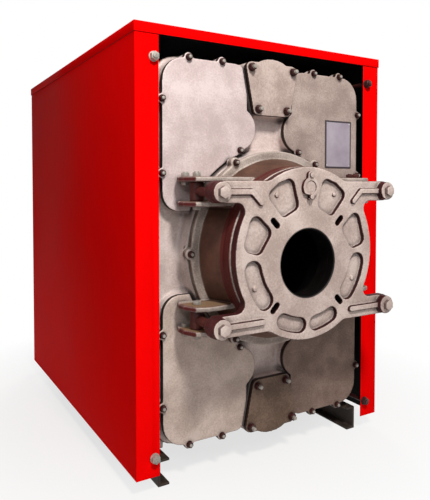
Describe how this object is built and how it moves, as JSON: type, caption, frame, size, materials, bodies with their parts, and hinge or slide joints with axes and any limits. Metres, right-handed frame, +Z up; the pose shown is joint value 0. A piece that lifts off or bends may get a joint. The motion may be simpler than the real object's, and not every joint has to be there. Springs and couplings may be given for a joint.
{
  "type": "cast iron sectional boiler",
  "caption": "Cast iron sectional boiler in a red sheet jacket with its front panel off, with flue covers and a round hinged burner door on a neck.",
  "frame": {"origin": "middle of the bounding box on the floor plane under the rails", "axes": "+Z up, -Y out of the burner door's side, +X to the right seen from the front"},
  "size_m": [0.7704, 1.348, 1.09],
  "materials": {
    "silver_casting": "worn aluminium paint",
    "dark_casting": "rough cast",
    "brown_casting": "primed and rusty",
    "maroon_casting": "red oxide primer",
    "red_sheet": "satin enamel",
    "rail": "matt",
    "zinc": "zinc plated",
    "refractory": "matt fibre",
    "rope": "woven"
  },
  "bodies": {
    "boiler": {"rail_left": "rail", "rail_right": "rail", "front_section": "silver_casting", "rear_section": "dark_casting", "tie_rods_left": "zinc", "tie_rods_right": "zinc", "flue_cover_upper_left": "silver_casting", "flue_cover_upper_right": "silver_casting", "flue_cover_lower_left": "silver_casting", "flue_cover_lower_right": "silver_casting", "port_plate_upper": "silver_casting", "port_plate_lower": "silver_casting", "burner_neck": "brown_casting", "door_seal": "rope", "knuckles_right": "maroon_casting", "hinge_pins_left": "zinc", "hinge_pins_right": "zinc", "stop_bolts_left": "zinc", "stop_bolts_right": "zinc", "jacket_left": "red_sheet", "jacket_right": "red_sheet", "jacket_top": "red_sheet", "flue_hood": "dark_casting", "flow_flange": "dark_casting", "return_flange": "dark_casting", "middle_section_1": "dark_casting", "middle_section_2": "dark_casting", "middle_section_3": "dark_casting", "middle_section_4": "dark_casting", "middle_section_5": "dark_casting", "middle_section_6": "dark_casting"},
    "door": {"burner_door": "silver_casting", "door_lining": "refractory", "knuckles_left": "maroon_casting", "door_bolts_left": "zinc", "door_bolts_right": "zinc", "sight_screws": "zinc"},
    "sight_flap": {"sight_cover": "silver_casting"}
  },
  "joints": [
    {"name": "door_swing", "type": "hinge", "parent": "boiler", "child": "door", "pos_m": [-0.25, -0.548, 0.558], "axis": [0, 0, -1], "range_deg": [0, 90]},
    {"name": "sight_cover_swing", "type": "hinge", "parent": "door", "child": "sight_flap", "pos_m": [0, -0.6505, 0.745], "axis": [0, -1, 0], "range_deg": [0, 100]}
  ]
}
